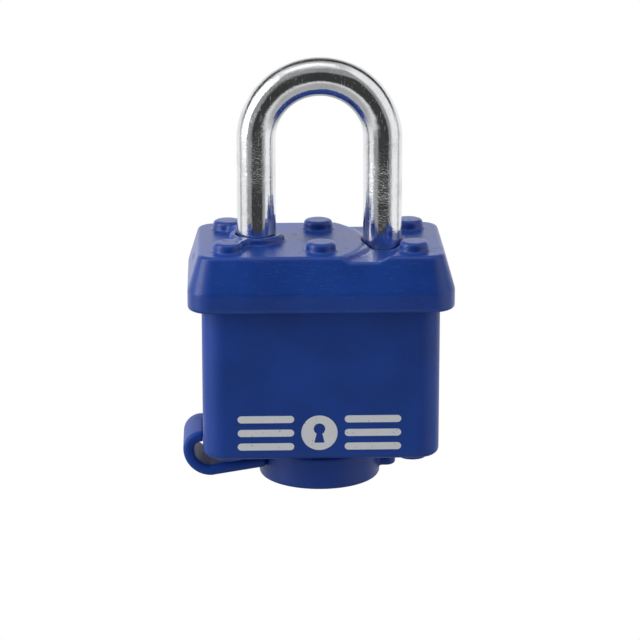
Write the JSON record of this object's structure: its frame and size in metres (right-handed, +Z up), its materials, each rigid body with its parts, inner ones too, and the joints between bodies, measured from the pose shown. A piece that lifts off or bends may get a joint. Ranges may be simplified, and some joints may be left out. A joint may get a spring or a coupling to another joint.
{
  "type": "padlock",
  "caption": "Laminated pin-tumbler padlock in a blue moulded weather cover, with a chromed steel shackle and a strapped keyway cover.",
  "frame": {"origin": "middle of the flat underside of the keyway cover, which the lock stands on, on the cylinder's axis", "axes": "+Z up from the keyway cover to the bow of the shackle, +X from the heel leg of the shackle to its toe leg, -Y the front of the lock"},
  "size_m": [0.0496, 0.0306, 0.0786],
  "materials": {
    "upper_cover": "satin moulded thermoplastic",
    "jacket": "satin moulded thermoplastic",
    "key_cover": "satin moulded thermoplastic",
    "strap": "satin flexible thermoplastic",
    "chrome": "chromed hardened steel, slightly orange-peeled",
    "plates": "stamped steel",
    "rivets": "headed steel rivet",
    "levers": "hardened steel",
    "springs": "spring wire",
    "cylinder": "machined brass",
    "pins": "turned brass"
  },
  "bodies": {
    "lock_body": {"jacket": "jacket", "top_cover": "upper_cover", "plate_01": "plates", "plate_02": "plates", "plate_03": "plates", "plate_04": "plates", "plate_05": "plates", "plate_06": "plates", "plate_07": "plates", "plate_08": "plates", "plate_09": "plates", "plate_10": "plates", "plate_11": "plates", "plate_12": "plates", "plate_13": "plates", "plate_14": "plates", "rivet_1": "rivets", "rivet_2": "rivets", "rivet_3": "rivets", "rivet_4": "rivets", "rivet_5": "rivets", "rivet_6": "rivets", "cylinder_shell": "cylinder", "chamber_cover": "cylinder", "driver_pin_1": "pins", "driver_pin_2": "pins", "driver_pin_3": "pins", "driver_pin_4": "pins", "pin_spring_1": "springs", "pin_spring_2": "springs", "pin_spring_3": "springs", "pin_spring_4": "springs", "shackle_spring": "springs", "front_lever_spring": "springs", "back_lever_spring": "springs", "key_cover_strap": "strap"},
    "shackle": {"shackle": "chrome"},
    "plug": {"cylinder_plug": "cylinder", "plug_cam": "levers", "key_pin_1": "pins", "key_pin_2": "pins", "key_pin_3": "pins", "key_pin_4": "pins"},
    "heel_lever": {"heel_lever": "levers"},
    "toe_lever": {"toe_lever": "levers"},
    "key_cover": {"key_cover": "key_cover"}
  },
  "joints": [
    {"name": "shackle_lift", "type": "slide", "parent": "lock_body", "child": "shackle", "axis": [0, 0, 1], "range_m": [0, 0.012], "deforming": ["shackle_spring"]},
    {"name": "plug_turn", "type": "hinge", "parent": "lock_body", "child": "plug", "pos_m": [0, 0, 0.02], "axis": [0, 0, 1], "range_deg": [-90, 0]},
    {"name": "heel_lever_slide", "type": "slide", "parent": "lock_body", "child": "heel_lever", "axis": [-1, 0, 0], "range_m": [0, 0.0016], "deforming": ["front_lever_spring", "back_lever_spring"]},
    {"name": "toe_lever_slide", "type": "slide", "parent": "lock_body", "child": "toe_lever", "axis": [1, 0, 0], "range_m": [0, 0.0016]},
    {"name": "key_cover_swing", "type": "hinge", "parent": "lock_body", "child": "key_cover", "pos_m": [-0.0209, 0, 0.006], "axis": [0, 1, 0], "range_deg": [0, 120], "deforming": ["key_cover_strap"]}
  ],
  "couplings": [
    {"joint": "heel_lever_slide", "follows": "plug_turn", "m_per_rad": -0.0010185},
    {"joint": "toe_lever_slide", "follows": "plug_turn", "m_per_rad": -0.0010185}
  ]
}
